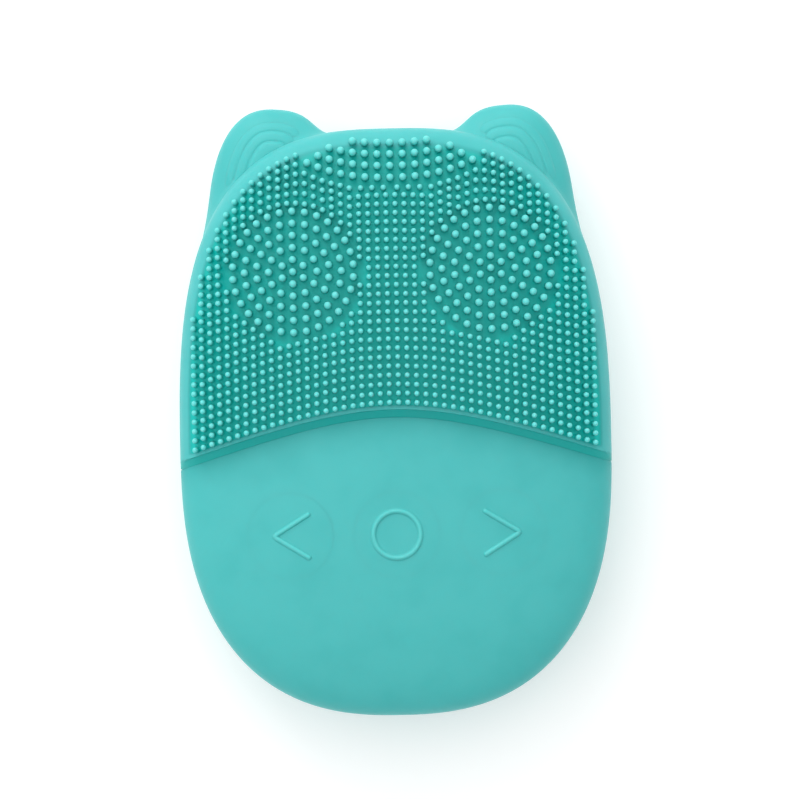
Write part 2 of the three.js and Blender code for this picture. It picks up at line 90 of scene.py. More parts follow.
SEAM_Y = -1.05  # where the arched seam crosses the middle
SEAM_DROP = 5.8
SEAM_SPREAD = 16
RAMP = 1.1  # width of the slope from the panel's edge up to the bristle cover's lip
RAMP_TOP = 0.8  # how high the slope climbs before the lip's own little step
LIP_STEP = 0.14  # width of that step
LIP = 0.35  # width of the smooth lip, before the tint of the bristles' floor begins
CREVICE = -0.04  # the panel's edge tucks under the foot of the slope
PANEL_ROUND = 0.16
COVER_MIDDLE = (0.0, 18.0)  # where the fans of the two front covers start
PANEL_MIDDLE = (0.0, -24.0)

EAR_X = 18.97
EAR_HALF_WIDTH = 9.85
EAR_HALF_LENGTH = 18.2
EAR_TOP = REAR_HIGH[1]
EAR_Y = EAR_TOP - 18.14
EAR_POWER = 2.55
EAR_LEAN = 0.08
EAR_Z = 10.8
EAR_FRONT = 4.6
EAR_BACK = 5.0
EAR_SECTION = 2.6
EAR_SCALE = 5.5  # turns a share of an ear's form into roughly millimetres
EAR_FILLET = 0.8
OVERLAP = 0.5  # how far an ear runs in under the front cover's surface
CONTACT_CLEARANCE = 0.3  # round each charge contact in the back
CONTACT_HOLE_TOP = 8.0  # their holes end here, clear of the front
NET_STEP = 0.4  # grid of the rear cover's mesh
TERRACES = (2.1, 3.6, 5.2)  # how far in from the ear's edge each terrace starts
TERRACE_RISE = 0.34
TERRACE_ROUND = 0.35
TERRACE_START = -0.02  # level round the outermost terrace, just under the ear's surface
TERRACE_FOOT = -0.5  # level of their underside
GROOVE_DEPTH = 0.1
GROOVE_WIDTH = 0.2

KEYS = {"minus_key": "<", "power_key": "o", "plus_key": ">"}
KEY_SKIN = 6.6  # radius of the skin that gives when a key is pressed
KEY_UNDER = 4.6  # the skin's underside follows the dome from here outwards
STEM_RADIUS = 1.6
MARK_HEIGHT = 0.34
MARK_HALF = 0.42  # half the width of a mark's stroke, at its foot
RING_RADIUS = 3.6
CHEVRON_TAIL = (13.6, 3.3)  # how far out and how far up or down from the row of keys
CHEVRON_BEND = (18.55, 0.25)  # where a stroke turns into the blunt tip
CHEVRON_TIP = (18.7, 0.0)

FINE_PITCH = 1.4
FINE_COLUMNS = 23  # on each side of the middle
COLUMN_PITCH = 1.395
COLUMN_CLOSING = 0.0012  # how much closer they stand towards the sides
FIRST_ROW = 2.3  # how far above the seam each column starts
FINE_RADIUS = 0.42
THICK_RADIUS = 0.56
BRISTLE_LENGTH = 2.3
FIELD_SHARE = 0.95  # the bristles end at this share of the outline
EYE_X = 15.13
EYE_Y = 21.48
EYE_PITCH = 1.863
EYE_RINGS = 5
EYE_CLEAR = 10.45  # fine bristles keep this far from an eye's middle
LEAN = 0.12  # how much a bristle follows the surface's normal, rather than standing upright

FORELOCK_Y = 35.74
FORELOCK_ROW = 1.83
FORELOCK_ROWS = (4, 4, 4, 4, 3, 3, 2, 1)  # bristles in each column, from the middle outwards
FORELOCK_COLUMN = 1.965
FORELOCK_CLOSING = 0.021
FORELOCK_HALF = 12.7  # its half width, where its lowest row has turned up by FORELOCK_TURN
FORELOCK_TURN = 2.55
FORELOCK_GAP = 1.9  # from its lowest row to the fine bristles beside the middle
UNDER_ROW_Y = 34.15  # a loose row of fine bristles below its middle, in a spacing of its own
UNDER_ROW_START = 1.05
UNDER_ROW_PITCH = 1.74
UNDER_ROW_HALF = 7
FIELD_TOP = 33.0  # where the middle columns of fine bristles end, under that row
FIELD_BOW = 0.0085
FORELOCK_END = 13.5  # columns nearer the middle than this end below the forelock

FAN_RAYS = 900
FAN_EDGE = 8.0  # the border, this wide, where a fan's rings follow its outline
FAN_EDGE_RINGS = 90
FAN_INNER_RINGS = 24


# ------------------------------------------------------------------ the body's form
def share_of(x, y, inset=0.0):
    """0 at the middle of the outline and 1 on it, along each ray."""
    top = y >= WIDEST_Y
    length = np.where(top, TOP_LENGTH, BOTTOM_LENGTH) - inset
    power = np.where(top, TOP_POWER, BOTTOM_POWER)
    across = (np.abs(x) / (HALF_WIDTH - inset)) ** power
    along = (np.abs(y - WIDEST_Y) / length) ** power
    return (across + along) ** (1 / power)


def rise(share, crown, wall):
    shoulder = np.maximum(0, 1 - share**SHOULDER) ** (1 / SHOULDER)
    return crown * (1 - share**2) + wall * shoulder


def front_z(x, y, inset=0.0):
    share = np.minimum(share_of(x, y, inset), 1)
    return EQUATOR + rise(share, CROWN, WALL - inset)


def seam_y(x):
    return SEAM_Y - SEAM_DROP * (np.hypot(1, x / SEAM_SPREAD) - 1)


def above_seam(x, y):
    """Distance from the seam, positive on the bristles' side."""
    slope = SEAM_DROP * x / SEAM_SPREAD**2 / np.hypot(1, x / SEAM_SPREAD)
    return (y - seam_y(x)) / np.hypot(1, slope)


def rounded_edge(distance, radius):
    """How far a rounded edge has dropped at some distance in from it."""
    inside = np.clip(radius - distance, 0, radius)
    return radius - np.sqrt(radius**2 - inside**2)


def smooth_step(t):
    t = np.clip(t, 0, 1)
    return t * t * (3 - 2 * t)


def soft_min(a, b, width):
    h = np.clip(0.5 + 0.5 * (b - a) / width, 0, 1)
    return b * (1 - h) + a * h - width * h * (1 - h)


# ------------------------------------------------------------------ mesh helpers
def add_object(name, mesh, material):
    obj = bpy.data.objects.new(name, mesh)
    bpy.context.scene.collection.objects.link(obj)
    mesh.materials.append(material)
    return obj


def mesh_piece(name, points, faces, material, sharp=40):
    mesh = bpy.data.meshes.new(name)
    mesh.from_pydata((np.asarray(points) * MM).tolist(), [], [list(map(int, f)) for f in faces])
    mesh.validate()
    mesh.shade_smooth()
    mesh.set_sharp_from_angle(angle=math.radians(sharp))
    return add_object(name, mesh, material)


def rings_to_faces(count, rings, closed_start=None, closed_end=None):
    """Quads between rings of count points, with a fan from the point closed_start or closed_end."""
    i = np.arange(count)
    following = (i + 1) % count
    faces = []
    for ring in range(rings - 1):
        a = ring * count
        b = a + count
        faces += np.stack([a + i, a + following, b + following, b + i], 1).tolist()
    if closed_start is not None:
        faces += np.stack([np.full(count, closed_start), following, i], 1).tolist()
    if closed_end is not None:
        last = (rings - 1) * count
        faces += np.stack([np.full(count, closed_end), last + i, last + following], 1).tolist()
    return faces


def reach(centre, room, angles):
    """How far each ray from the centre runs until room(x, y) turns negative."""
    near = np.zeros(len(angles))
    far = np.full(len(angles), 90.0)
    for _ in range(50):
        middle = (near + far) / 2
        inside = room(centre[0] + middle * np.cos(angles), centre[1] + middle * np.sin(angles)) > 0
        near = np.where(inside, middle, near)
        far = np.where(inside, far, middle)
    return near


def fan_shell(name, centre, room, inner_room, top, under, material):
    """A closed skin between the heights top(x, y) and under(x, y), over the ground inside room.

    room is the distance in from the outline, so rings near the border keep to set distances."""
    angles = np.linspace(0, 2 * math.pi, FAN_RAYS, endpoint=False)
    middle = np.array(centre, float)
    points = []

    def add_ring(length, height):
        x = middle[0] + length * np.cos(angles)
        y = middle[1] + length * np.sin(angles)
        points.append(np.stack([x, y, height(x, y)], 1))

    insets = FAN_EDGE * np.linspace(1, 0, FAN_EDGE_RINGS) ** 2
    inner = reach(middle, lambda x, y: room(x, y) - FAN_EDGE, angles)
    for fraction in np.linspace(0, 1, FAN_INNER_RINGS + 1)[1:-1]:
        add_ring(fraction * inner, top)
    for inset in insets:
        add_ring(reach(middle, lambda x, y: room(x, y) - inset, angles), top)
    under_length = reach(middle, inner_room, angles)
    for fraction in np.sin(np.linspace(0, math.pi / 2, FAN_INNER_RINGS + 1)[1:])[::-1]:
        add_ring(fraction * under_length, under)
    rings = len(points)
    points.append(np.array([[*middle, top(*middle)], [*middle, under(*middle)]]))
    total = rings * FAN_RAYS
    faces = [f[::-1] for f in rings_to_faces(FAN_RAYS, rings, total, total + 1)]
    return mesh_piece(name, np.concatenate(points), faces, material)


# ------------------------------------------------------------------ materials
BROAD = 180  # scale of the slow wander in every colour


def new_material(name):
    material = bpy.data.materials.new(name)
    material.use_nodes = True
    nodes = material.node_tree.nodes
    shader = nodes["Principled BSDF"]
    return material, nodes, material.node_tree.links, shader


def noise(nodes, links, scale, detail=3.0):
    coordinates = nodes.new("ShaderNodeTexCoord")
    texture = nodes.new("ShaderNodeTexNoise")
    texture.inputs["Scale"].default_value = scale
    texture.inputs["Detail"].default_value = detail
    links.new(coordinates.outputs["Object"], texture.inputs["Vector"])
    return texture.outputs["Fac"]


def mapped(nodes, links, value, low, high):
    node = nodes.new("ShaderNodeMapRange")
    node.inputs["From Min"].default_value = 0.3
    node.inputs["From Max"].default_value = 0.7
    node.inputs["To Min"].default_value = low
    node.inputs["To Max"].default_value = high
    links.new(value, node.inputs["Value"])
    return node.outputs["Result"]


def tinted(nodes, links, value, dark, light):
    ramp = nodes.new("ShaderNodeValToRGB")
    ramp.color_ramp.elements[0].position = 0.3
    ramp.color_ramp.elements[0].color = (*dark, 1)
    ramp.color_ramp.elements[1].position = 0.7
    ramp.color_ramp.elements[1].color = (*light, 1)
    links.new(value, ramp.inputs["Fac"])
    return ramp.outputs["Color"]


def bumped(nodes, links, shader, value, depth_mm):
    bump = nodes.new("ShaderNodeBump")
    bump.inputs["Distance"].default_value = depth_mm * MM
    links.new(value, bump.inputs["Height"])
    links.new(bump.outputs["Normal"], shader.inputs["Normal"])


def surface(name, dark, light, roughness, grain, depth, metallic=0.0):
    """A solid material: its colour wanders from dark to light and its roughness between two values."""
    material, nodes, links, shader = new_material(name)
    coarse = noise(nodes, links, BROAD, 2)
    fine = noise(nodes, links, grain)
    links.new(tinted(nodes, links, coarse, dark, light), shader.inputs["Base Color"])
    links.new(mapped(nodes, links, fine, *roughness), shader.inputs["Roughness"])
    shader.inputs["Metallic"].default_value = metallic
    bumped(nodes, links, shader, fine, depth)
    return material


# One silicone whose base colour also carries painted light: a painted highlight on the bristles' tips,
# and painted shade on the floor between them, on the slope at the seam and on the panel beside it. A
# point attribute picks the tint: -1 on the bristles' tips, 0 on plain surfaces and 1 at their roots.
TINT_ATTRIBUTE = "depth"
# painted highlight on the bristles' tips, in place of the light their domes catch and pass on
PAINTED_HIGHLIGHT = (0.14, 0.64, 0.62)
PLAIN = (0.068, 0.487, 0.481)
SHADED = (0.035, 0.4, 0.39)
SHADED_AT = 0.24
# painted shade, darker, on the floor round the thick bristles and under the forelock
SPARSE_SHADE = (0.0, 0.45, 0.41)
SPARSE_SHADE_AT = 0.6
# painted shade on the floor between fine bristles: saturated, without the red of reflected light
ROOT_SHADE = (0.0, 0.54, 0.495)
SLOPE_SHADE = 0.45  # painted shade on the slope at the seam, which faces away from the light
MARK_TINT = -0.45  # a paler tint on the keys' marks, towards the painted highlight's colour
LIP_FADE = 0.5  # widths over which one tint fades into another, in millimetres
SLOPE_FADE = 0.1
PANEL_FADE = 2
SPARSE_FADE = 0.8
FORELOCK_FADE = 1.5
RIM_MARGIN = 0.01  # how far the floor's painted shade runs past the outermost bristles, and the width of its fade there, both as shares of the outline
RIM_FADE = 0.036  # its fade there, both as shares of the outline


def silicone():
    material, nodes, links, shader = new_material("silicone")
    # reads the tint attribute: painted highlight on the bristles' tips, painted shade between them and at
    # the seam
    depth = nodes.new("ShaderNodeAttribute")
    depth.attribute_name = TINT_ATTRIBUTE
    wander = mapped(nodes, links, noise(nodes, links, BROAD, 2), 0.48, 0.52)
    level = nodes.new("ShaderNodeMath")
    level.operation = "MULTIPLY_ADD"
    level.inputs[1].default_value = 0.5
    links.new(depth.outputs["Fac"], level.inputs[0])
    links.new(wander, level.inputs[2])
    ramp = nodes.new("ShaderNodeValToRGB")
    stops = ramp.color_ramp.elements
    stops[0].color = (*PAINTED_HIGHLIGHT, 1)
    stops[1].color = (*ROOT_SHADE, 1)
    stops.new(0.5).color = (*PLAIN, 1)
    stops.new(0.5 + SHADED_AT / 2).color = (*SHADED, 1)
    stops.new(0.5 + SPARSE_SHADE_AT / 2).color = (*SPARSE_SHADE, 1)
    links.new(level.outputs["Value"], ramp.inputs["Fac"])
    links.new(ramp.outputs["Color"], shader.inputs["Base Color"])
    grain = noise(nodes, links, 5200)
    links.new(mapped(nodes, links, grain, 0.42, 0.52), shader.inputs["Roughness"])
    bumped(nodes, links, shader, grain, 0.008)
    shader.inputs["Specular IOR Level"].default_value = 0.3
    shader.inputs["Subsurface Weight"].default_value = 0.4
    shader.inputs["Subsurface Radius"].default_value = (0.1, 1.0, 0.95)
    shader.inputs["Subsurface Scale"].default_value = 0.0009
    return material


# sets the tint attribute: painted light on the silicone, and the paler tint of the keys' marks
def set_tint(piece, values):
    attribute = piece.data.attributes.new(TINT_ATTRIBUTE, "FLOAT", "POINT")
    attribute.data.foreach_set("value", np.asarray(values, np.float32))


def points_mm(piece):
    return np.array([v.co for v in piece.data.vertices]) / MM


SILICONE = silicone()


def circuit_board():
    """Solder resist with copper tracks that show through it as lighter lines."""
    material, nodes, links, shader = new_material("board")
    coordinates = nodes.new("ShaderNodeTexCoord")
    tracks = nodes.new("ShaderNodeTexBrick")
    tracks.inputs["Scale"].default_value = 260
    tracks.inputs["Mortar Size"].default_value = 0.03
    tracks.inputs["Color1"].default_value = (0.012, 0.13, 0.045, 1)
    tracks.inputs["Color2"].default_value = (0.014, 0.15, 0.05, 1)
    tracks.inputs["Mortar"].default_value = (0.05, 0.27, 0.09, 1)
    links.new(coordinates.outputs["Object"], tracks.inputs["Vector"])
    links.new(tracks.outputs["Color"], shader.inputs["Base Color"])
    grain = noise(nodes, links, 2500)
    links.new(mapped(nodes, links, grain, 0.25, 0.36), shader.inputs["Roughness"])
    bumped(nodes, links, shader, tracks.outputs["Fac"], 0.02)
    return material


def slot_materials():
    """One material for each of the record's slots that a carried-over CAD node uses."""
    return {
        "housing_plastic": surface(
            "housing_plastic", (0.74, 0.76, 0.76), (0.8, 0.82, 0.82), (0.38, 0.5), 3500, 0.01),
        "seal_rubber": surface(
            "seal_rubber", (0.02, 0.022, 0.024), (0.035, 0.037, 0.04), (0.65, 0.8), 2600, 0.01),
        "chip": surface("chip", (0.012, 0.012, 0.013), (0.02, 0.02, 0.022), (0.4, 0.55), 6000, 0.006),
        "plunger_plastic": surface(
            "plunger_plastic", (0.78, 0.76, 0.68), (0.84, 0.82, 0.75), (0.28, 0.36), 2500, 0.004),
        "switch_case": surface(
            "switch_case", (0.014, 0.014, 0.016), (0.022, 0.022, 0.025), (0.42, 0.5), 5000, 0.006),
        "screw_steel": surface(
            "screw_steel", (0.5, 0.51, 0.53), (0.6, 0.61, 0.63), (0.24, 0.36), 3000, 0.004, 1.0),
        "motor_steel": surface(
            "motor_steel", (0.46, 0.47, 0.49), (0.56, 0.57, 0.59), (0.28, 0.4), 2400, 0.004, 1.0),
        "tungsten": surface(
            "tungsten", (0.22, 0.22, 0.235), (0.3, 0.3, 0.315), (0.45, 0.6), 4000, 0.012, 1.0),
        "magnet": surface("magnet", (0.6, 0.6, 0.61), (0.68, 0.68, 0.69), (0.12, 0.2), 900, 0.002, 1.0),
        "contact_gold": surface(
            "contact_gold", (0.78, 0.52, 0.17), (0.86, 0.6, 0.22), (0.16, 0.26), 2200, 0.003, 1.0),
        "cell_foil": surface(
            "cell_foil", (0.48, 0.51, 0.55), (0.56, 0.59, 0.63), (0.3, 0.42), 700, 0.03, 0.8),
        "foam": surface("foam", (0.055, 0.058, 0.062), (0.09, 0.094, 0.1), (0.85, 0.95), 1800, 0.12),
        "lead_red": surface("lead_red", (0.4, 0.01, 0.008), (0.5, 0.016, 0.012), (0.3, 0.4), 1500, 0.004),
        "lead_black": surface(
            "lead_black", (0.008, 0.008, 0.009), (0.014, 0.014, 0.015), (0.3, 0.4), 1500, 0.004),
        "led_lens": surface("led_lens", (0.8, 0.82, 0.7), (0.86, 0.88, 0.78), (0.1, 0.16), 900, 0.002),
        "board": circuit_board(),
        "silicone": SILICONE,
    }


def dress_cad_nodes():
    materials = slot_materials()
    for row in frame["record"]["subparts"]:
        obj = frame["nodes"][row["node"]]
        obj.data.materials.clear()
        obj.data.materials.append(materials[row["material_slot"]])


def finish_piece(piece, body, *nodes):
    if body:
        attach(piece, body)
    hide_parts(*nodes)


# ------------------------------------------------------------------ silicone covers
def bristle_cover_top(x, y):
    """The panel's own form, lifted by STEP behind a slope that ends in the lip's little step."""
    distance = above_seam(x, y)
    lift = RAMP_TOP * np.clip(distance / RAMP, 0, 1)
    lift = lift + (STEP - RAMP_TOP) * smooth_step((distance - RAMP) / LIP_STEP)
    share = np.minimum(share_of(x, y), 1)
    z = EQUATOR + rise(share, CROWN, WALL + lift)
    return np.maximum(z, EQUATOR + PARTING)


def painted_floor_shade(x, y):
    """Painted shade on the bristles' floor: 1 between fine bristles, fading out past the outermost ones.

    The thick bristles stand further apart, and the floor round them gets a lower value, painted in a
    darker shade."""
    field = smooth_step((above_seam(x, y) - RAMP - LIP_STEP - LIP) / LIP_FADE)
    field = field * smooth_step((FIELD_SHARE + RIM_MARGIN - share_of(x, y)) / RIM_FADE)
    from_eye = np.hypot(np.abs(x) - EYE_X, y - EYE_Y)
    by_eye = smooth_step((EYE_CLEAR + SPARSE_FADE - from_eye) / SPARSE_FADE)
    in_forelock = smooth_step((y - FIELD_TOP) / FORELOCK_FADE)
    return field * (1 - (1 - SPARSE_SHADE_AT) * np.maximum(by_eye, in_forelock))


def front_shell(name, middle, beyond, top):
    """One of the two front covers, over the part of the outline where beyond(x, y) is positive."""
    def room(x, y):
        return np.minimum(HALF_WIDTH * (1 - share_of(x, y)), beyond(x, y))

    def inner_room(x, y):
        return np.minimum(HALF_WIDTH * (1 - share_of(x, y, SKIN)), beyond(x, y))

    def under(x, y):
        return np.maximum(front_z(x, y, SKIN), EQUATOR + PARTING)

    return fan_shell(name, middle, room, inner_room, top, under, SILICONE)


def bristle_cover():
    shell = front_shell("bristle_cover_skin", COVER_MIDDLE, above_seam, bristle_cover_top)
    x, y, _ = points_mm(shell).T
    # painted shade on the slope at the seam, on top of the painted shade of the bristles' floor
    slope = smooth_step((RAMP + LIP_STEP - above_seam(x, y)) / SLOPE_FADE)
    set_tint(shell, painted_floor_shade(x, y) + SLOPE_SHADE * slope)
    finish_piece(shell, "root", "bristle_cover")


def below_seam(x, y):
    """Distance in from the panel's edge at the seam."""
    return -above_seam(x, y) - CREVICE


def panel_top(x, y):
    z = front_z(x, y) - rounded_edge(below_seam(x, y), PANEL_ROUND)
    return np.maximum(z, EQUATOR + PARTING)


def key_centres():
    centres = {}
    for node in KEYS:
        low, high = box_mm(node)
        centres[node] = (low[:2] + high[:2]) / 2
    return centres


KEY_CENTRES = key_centres()


def cut_round_hole(shell, centre, radius):
    """Cuts a round hole through a skin with an upright cylinder."""
    sides = 256
    angles = np.linspace(0, 2 * math.pi, sides, endpoint=False)
    ring = np.stack([centre[0] + radius * np.cos(angles), centre[1] + radius * np.sin(angles)], 1)
    low = np.column_stack([ring, np.full(sides, EQUATOR)])
    high = np.column_stack([ring, np.full(sides, EQUATOR + 20)])
    faces = rings_to_faces(sides, 2) + [list(range(sides))[::-1], list(range(sides, 2 * sides))]
    cutter = mesh_piece("cutter", np.concatenate([low, high]), faces, SILICONE)
    cut = shell.modifiers.new("cut", "BOOLEAN")
    cut.operation = "DIFFERENCE"
    cut.solver = "EXACT"
    cut.object = cutter
    with bpy.context.temp_override(object=shell, active_object=shell):
        bpy.ops.object.modifier_apply(modifier=cut.name)
    bpy.data.objects.remove(cutter)


def control_cover():
    shell = front_shell("control_cover_skin", PANEL_MIDDLE, below_seam, panel_top)
    for centre in KEY_CENTRES.values():
        cut_round_hole(shell, centre, KEY_SKIN)
    shell.data.set_sharp_from_angle(angle=math.radians(40))
    x, y, _ = points_mm(shell).T
    # painted shade on the panel beside the seam, fading out below it
    set_tint(shell, SHADED_AT * np.exp(np.minimum(above_seam(x, y), 0) / PANEL_FADE))
    finish_piece(shell, "root", "control_cover")


# ------------------------------------------------------------------ keys
def segment_distance(x, y, start, end):
    ax, ay = start
    dx, dy = end[0] - ax, end[1] - ay
    t = np.clip(((x - ax) * dx + (y - ay) * dy) / (dx * dx + dy * dy), 0, 1)
    return np.hypot(x - ax - t * dx, y - ay - t * dy)


def mark_distance(node, x, y):
    """Distance from the middle of the raised stroke on a key."""
    kind = KEYS[node]
    centre = KEY_CENTRES[node]
    if kind == "o":
        return np.abs(np.hypot(x - centre[0], y - centre[1]) - RING_RADIUS)
    side = 1 if kind == ">" else -1
    across = side * x
    up = np.abs(y - centre[1])
    stroke = segment_distance(across, up, CHEVRON_TAIL, CHEVRON_BEND)
    return np.minimum(stroke, segment_distance(across, up, CHEVRON_BEND, CHEVRON_TIP))


def key_top(node, x, y):
    stroke = np.clip(1 - (mark_distance(node, x, y) / MARK_HALF) ** 2, 0, 1)
    return front_z(x, y) + MARK_HEIGHT * stroke**0.75


def key_skin(node):
    """The disc of skin round a key's mark, with the stem that reaches down to its switch."""
    rays, rings = 360, 66
    centre = KEY_CENTRES[node]
    low, _ = box_mm(node)
    angles = np.linspace(0, 2 * math.pi, rays, endpoint=False)
    outline = np.stack([np.cos(angles), np.sin(angles)], 1)
    points = []
    for radius in np.linspace(0, KEY_SKIN, rings + 1)[1:]:
        ring = centre + radius * outline
        points.append(np.column_stack([ring, key_top(node, ring[:, 0], ring[:, 1])]))
    for radius in (KEY_SKIN, KEY_UNDER):
        ring = centre + radius * outline
        points.append(np.column_stack([ring, front_z(ring[:, 0], ring[:, 1]) - SKIN]))
    stem, base = low[2], front_z(centre[0], centre[1]) - SKIN
    for radius, height in ((STEM_RADIUS + 0.15, base), (STEM_RADIUS, base - 0.15),
                           (STEM_RADIUS, stem + 0.2), (STEM_RADIUS - 0.2, stem)):
        points.append(np.column_stack([centre + radius * outline, np.full(rays, height)]))
    count = len(points)
    points.append([[*centre, key_top(node, centre[0], centre[1])], [*centre, stem]])
    total = count * rays
    faces = [f[::-1] for f in rings_to_faces(rays, count, total, total + 1)]
    skin = mesh_piece(f"{node}_skin", np.concatenate(points), faces, SILICONE)
    x, y, _ = points_mm(skin).T
    # the marks get a paler tint on the same ramp
    set_tint(skin, MARK_TINT * smooth_step(1.6 * (1 - mark_distance(node, x, y) / MARK_HALF)))
    finish_piece(skin, None, node)
    blend_round(skin)


def blend_round(skin):
    """Only bakes the skin's placement into its mesh.
    """
    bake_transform(skin)


# ------------------------------------------------------------------ bristles
def bristle_profile():
    """Rings of (radius, height) for a unit bristle: flared at the root and domed from height 1."""
    profile = [(1.16, -0.1), (1.12, 0.01), (1.04, 0.08), (1.01, 0.3), (1.0, 0.7)]
    for degrees in (0, 22, 44, 64, 80):
        a = math.radians(degrees)
        profile.append((math.cos(a), 1 + math.sin(a)))
    return profile


def surface_slope(x, y, step=0.05):
    """The slope of the cover's dome under the bristles, without the step at the seam."""
    def dome(x, y):
        return rise(np.minimum(share_of(x, y), 1), CROWN, WALL + STEP)

    along_x = (dome(x + step, y) - dome(x - step, y)) / (2 * step)
    along_y = (dome(x, y + step) - dome(x, y - step)) / (2 * step)
    return along_x, along_y


def bristles(name, tips, radius, segments):
    """Many bristles in one piece, placed by where their tips are seen from above."""
    angles = np.linspace(0, 2 * math.pi, segments, endpoint=False)
    tips = np.array(tips)
    slope_x, slope_y = surface_slope(tips[:, 0], tips[:, 1])
    lean = np.stack([-slope_x * LEAN, -slope_y * LEAN, np.ones_like(slope_x)], 1)
    up = lean / np.linalg.norm(lean, axis=1, keepdims=True)
    side = np.cross([0.0, 1.0, 0.0], up)
    side /= np.linalg.norm(side, axis=1, keepdims=True)
    other = np.cross(up, side)
    x, y = (tips - up[:, :2] * BRISTLE_LENGTH).T
    root = np.stack([x, y, bristle_cover_top(x, y)], 1)
    shaft = BRISTLE_LENGTH - radius
    root_shade = painted_floor_shade(x, y)
    points = []
    tints = []
    for wide, high in bristle_profile():
        # painted shade at each root, turning into a painted highlight towards the tip
        tip_share = smooth_step((high - 0.6) / 0.6)
        tints += [root_shade * (1 - tip_share) - tip_share] * segments
        middle = root + up * (shaft * min(high, 1) + radius * max(high - 1, 0))
        for a in angles:
            points.append(middle + radius * wide * (math.cos(a) * side + math.sin(a) * other))
    points.append(root - up * 0.1 * shaft)
    points.append(root + up * BRISTLE_LENGTH)
    each = len(points)
    points = np.stack(points, 1).reshape(-1, 3)
    faces = rings_to_faces(segments, each // segments, each - 2, each - 1)
    all_faces = [[v + b * each for v in f] for b in range(len(tips)) for f in faces]
    piece = mesh_piece(name, points, all_faces, SILICONE, sharp=75)
    tints += [root_shade, np.full_like(root_shade, -1)]
    set_tint(piece, np.stack(tints, 1).ravel())
    finish_piece(piece, "root", "bristle_cover")


def eye_tips():
    """Rings of 6, 12, 18, 24 and 30 bristles round one in the middle."""
    tips = []
    for side in (-1, 1):
        tips.append((side * EYE_X, EYE_Y))
        for ring in range(1, EYE_RINGS + 1):
            for i in range(6 * ring):
                a = math.pi / 2 + 2 * math.pi * i / (6 * ring)
                radius = ring * EYE_PITCH
                tips.append((side * EYE_X + radius * math.cos(a), EYE_Y + radius * math.sin(a)))
    return tips


def forelock_y(x):
    """The forelock's lowest row, which turns up towards its ends."""
    return FORELOCK_Y + FORELOCK_TURN * np.abs(x / FORELOCK_HALF) ** 2.4


def forelock_tips():
    tips = []
    for column, rows in enumerate(FORELOCK_ROWS):
        x = FORELOCK_COLUMN * column - FORELOCK_CLOSING * column**2
        for side in (-1, 1) if column else (1,):
            tips += [(side * x, forelock_y(x) + row * FORELOCK_ROW) for row in range(rows)]
    return tips


def column_x(index):
    """Columns of fine bristles stand a little closer towards the sides."""
    half = index + 0.5
    return math.copysign(COLUMN_PITCH * abs(half) - COLUMN_CLOSING * half * half, half)


def field_top(x):
    """Where a column of fine bristles ends, at the rim or below the forelock."""
    y = np.linspace(0, 45, 4501)
    rim = y[share_of(np.full_like(y, x), y) < FIELD_SHARE].max()
    if abs(x) < UNDER_ROW_HALF:
        return FIELD_TOP - FIELD_BOW * x * x
    if abs(x) < FORELOCK_END:
        return min(rim, float(forelock_y(x)) - FORELOCK_GAP)
    return rim


def spread(low, high):
    """Even places from low to high, as near to the fine pitch as they come."""
    if high < low:
        return []
    return np.linspace(low, high, round((high - low) / FINE_PITCH) + 1).tolist()


def fine_tips():
    under_row = [UNDER_ROW_START + UNDER_ROW_PITCH * i for i in range(4)]
    tips = [(side * x, UNDER_ROW_Y) for side in (-1, 1) for x in under_row]
    for index in range(-FINE_COLUMNS, FINE_COLUMNS):
        x = column_x(index)
        low = float(seam_y(x)) + FIRST_ROW
        high = field_top(x)
        beside = abs(abs(x) - EYE_X)
        if beside >= EYE_CLEAR:
            heights = spread(low, high)
        else:
            half = math.sqrt(EYE_CLEAR**2 - beside**2)
            below = np.arange(low, EYE_Y - half - 0.25, FINE_PITCH).tolist()
            heights = below + spread(EYE_Y + half + 0.1, high)
        tips += [(x, y) for y in heights if share_of(x, y) <= FIELD_SHARE]
    return tips


# ------------------------------------------------------------------ rear cover with its ears
def surface_net(field, low, high, step):
    """A closed mesh of the surface where field(x, y, z) is 0, with field negative inside."""
    axes = [np.arange(a, b + step, step) for a, b in zip(low, high)]
    grid = np.meshgrid(*axes, indexing="ij")
    values = field(*grid)
    inside = values < 0
    shape = np.array(values.shape) - 1
    total = np.zeros((*shape, 3))
    crossings = np.zeros(shape)
    corner = [slice(0, -1), slice(1, None)]
    for axis in range(3):
        for i in (0, 1):
            for j in (0, 1):
                pick_a = [corner[i], corner[j]]
                pick_b = [corner[i], corner[j]]
                pick_a.insert(axis, corner[0])
                pick_b.insert(axis, corner[1])
                a, b = values[tuple(pick_a)], values[tuple(pick_b)]
                crossed = (a < 0) != (b < 0)
                t = np.where(crossed, a / np.where(crossed, a - b, 1), 0)
                offsets = [i, j]
                offsets.insert(axis, None)
                for k in range(3):
                    total[..., k] += np.where(crossed, t if k == axis else offsets[k], 0)
                crossings += crossed
    active = crossings > 0
    index = np.full(shape, -1)
    index[active] = np.arange(active.sum())
    cells = np.argwhere(active)
    points = np.array(low) + step * (cells + total[active] / crossings[active][:, None])
    faces = []
    for axis in range(3):
        u, v = (axis + 1) % 3, (axis + 2) % 3
        first = np.moveaxis(inside, [axis, u, v], [0, 1, 2])
        numbers = np.moveaxis(index, [axis, u, v], [0, 1, 2])
        a, b = first[:-1, 1:-1, 1:-1], first[1:, 1:-1, 1:-1]
        quad = np.stack([numbers[:, :-1, :-1], numbers[:, 1:, :-1],
                         numbers[:, 1:, 1:], numbers[:, :-1, 1:]], -1)
        outward = quad[a & ~b]
        inward = quad[~a & b][:, ::-1]
        faces.append(np.concatenate([outward, inward]))
    return points, np.concatenate(faces)


